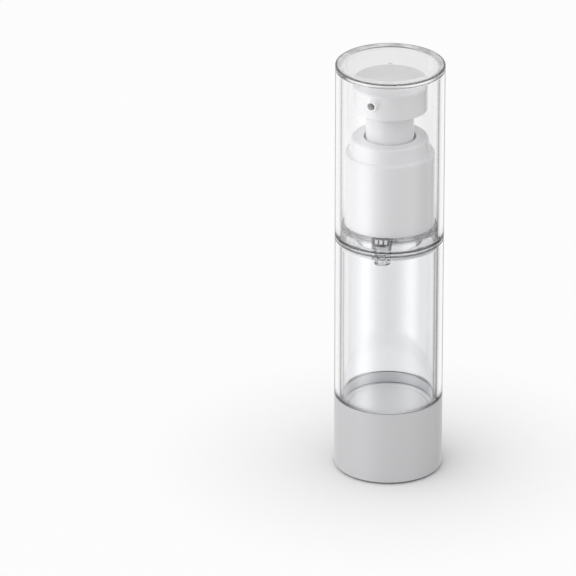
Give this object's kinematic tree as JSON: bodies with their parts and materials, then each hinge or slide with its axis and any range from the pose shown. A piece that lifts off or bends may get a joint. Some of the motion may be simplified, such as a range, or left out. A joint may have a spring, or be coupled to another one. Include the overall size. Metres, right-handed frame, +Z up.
{
  "type": "airless pump bottle",
  "caption": "Slim round airless pump bottle with a clear double wall, clear overcap, white press pump with side nozzle, rising follower piston and satin base cup.",
  "frame": {"origin": "centre of the ring that the base cup stands on, on the bottle's axis", "axes": "+Z up along the bottle's axis, -Y towards the nozzle at rest, +X to the right seen from the nozzle's side"},
  "size_m": [0.03, 0.03, 0.12],
  "materials": {
    "base_plastic": "satin, moulded",
    "follower_plastic": "soft moulded",
    "bottle_clear": "clear, polished",
    "sleeve_clear": "clear, polished",
    "ring_clear": "clear, polished",
    "cap_clear": "clear, polished",
    "gasket_foam": "soft foam",
    "pump_plastic": "moulded",
    "seal_plastic": "soft moulded",
    "valve_steel": "polished ball",
    "spring_steel": "drawn wire",
    "collar_gloss": "gloss, moulded",
    "button_gloss": "gloss, moulded",
    "nozzle_gloss": "gloss, moulded"
  },
  "bodies": {
    "bottle": {"base_cup": "base_plastic", "inner_bottle": "bottle_clear", "outer_sleeve": "sleeve_clear", "shoulder_ring": "ring_clear", "neck_gasket": "gasket_foam", "pump_housing": "pump_plastic", "stem_guide": "pump_plastic", "snap_fitment": "pump_plastic", "collar_shell": "collar_gloss", "return_spring": "spring_steel"},
    "cap": {"overcap": "cap_clear"},
    "stem": {"pump_stem": "pump_plastic", "stem_foot": "pump_plastic"},
    "button": {"actuator_head": "button_gloss", "nozzle_insert": "nozzle_gloss"},
    "seal": {"pump_piston": "seal_plastic"},
    "ball": {"inlet_ball": "valve_steel"},
    "follower": {"follower_piston": "follower_plastic"}
  },
  "joints": [
    {"name": "cap_lift", "type": "slide", "parent": "bottle", "child": "cap", "axis": [0, 0, 1], "range_m": [0, 0.055]},
    {"name": "button_press", "type": "slide", "parent": "bottle", "child": "stem", "axis": [0, 0, -1], "range_m": [0, 0.007], "stiffness_N_per_m": 1200, "springref_m": -0.006, "deforming": ["return_spring"]},
    {"name": "button_swivel", "type": "hinge", "parent": "stem", "child": "button", "pos_m": [0, 0, 0.107], "axis": [0, 0, 1], "continuous": true},
    {"name": "seal_play", "type": "slide", "parent": "stem", "child": "seal", "axis": [0, 0, 1], "range_m": [0, 0.0008]},
    {"name": "ball_lift", "type": "slide", "parent": "bottle", "child": "ball", "axis": [0, 0, 1], "range_m": [0, 0.001]},
    {"name": "follower_climb", "type": "slide", "parent": "bottle", "child": "follower", "axis": [0, 0, 1], "range_m": [0, 0.045]}
  ]
}
